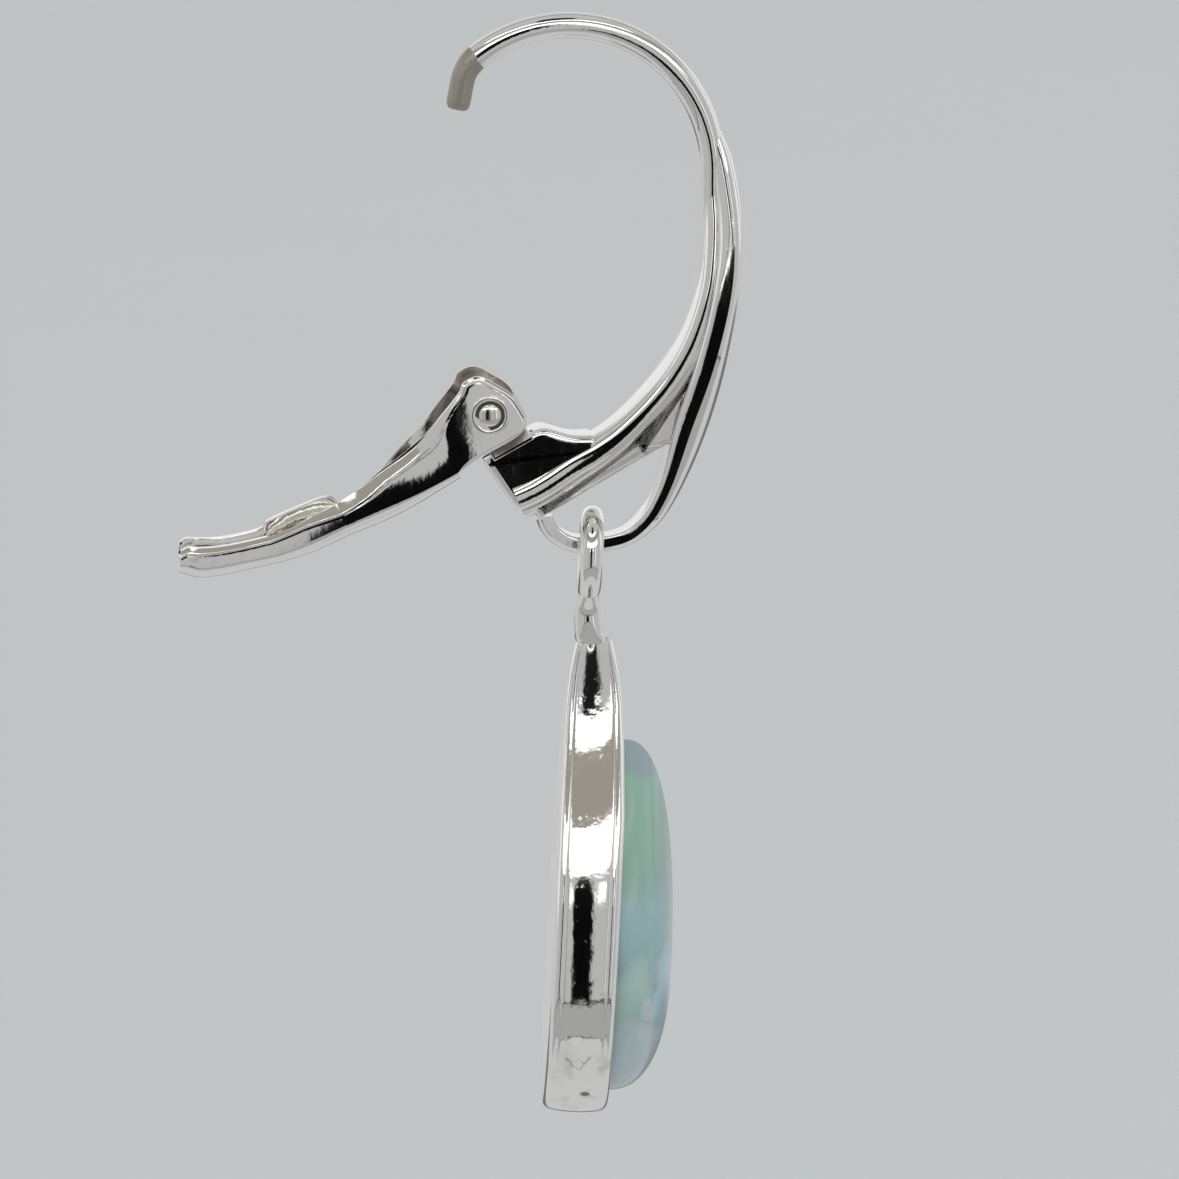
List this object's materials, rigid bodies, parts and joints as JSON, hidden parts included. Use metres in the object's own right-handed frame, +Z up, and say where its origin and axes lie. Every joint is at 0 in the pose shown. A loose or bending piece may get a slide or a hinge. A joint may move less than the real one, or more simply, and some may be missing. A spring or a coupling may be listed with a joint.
{
  "type": "leverback earring",
  "caption": "Silver leverback earring with a crowned shield, a hinged lever that closes over the ear wire, and a hanging teardrop setting that holds a pear-shaped opal cabochon.",
  "frame": {"origin": "underside of the ear wire's arch, where the earring hangs in the ear", "axes": "+X to the front of the ear, where the shield is; +Z up; +Y across, along the hinge pin"},
  "size_m": [0.0191, 0.0095, 0.0375],
  "materials": {
    "hook_silver": "polished silver",
    "lever_silver": "polished silver",
    "pin_silver": "worn silver",
    "setting_silver": "polished silver with fine scratches",
    "opal": "milky sea-green and pale blue opal, polished"
  },
  "bodies": {
    "hook": {"ear_hook": "hook_silver"},
    "lever": {"lever": "lever_silver", "hinge_pin": "pin_silver"},
    "pendant": {"pendant_setting": "setting_silver", "opal_stone": "opal"}
  },
  "joints": [
    {"name": "lever_hinge", "type": "hinge", "parent": "hook", "child": "lever", "pos_m": [-0.0027, 0, -0.01249], "axis": [0, 1, 0], "range_deg": [0, 109]},
    {"name": "pendant_swing", "type": "hinge", "parent": "hook", "child": "pendant", "pos_m": [0.00079, 0, -0.01743], "axis": [0.9964, -0.0662, -0.0523], "range_deg": [-60, 60]}
  ]
}
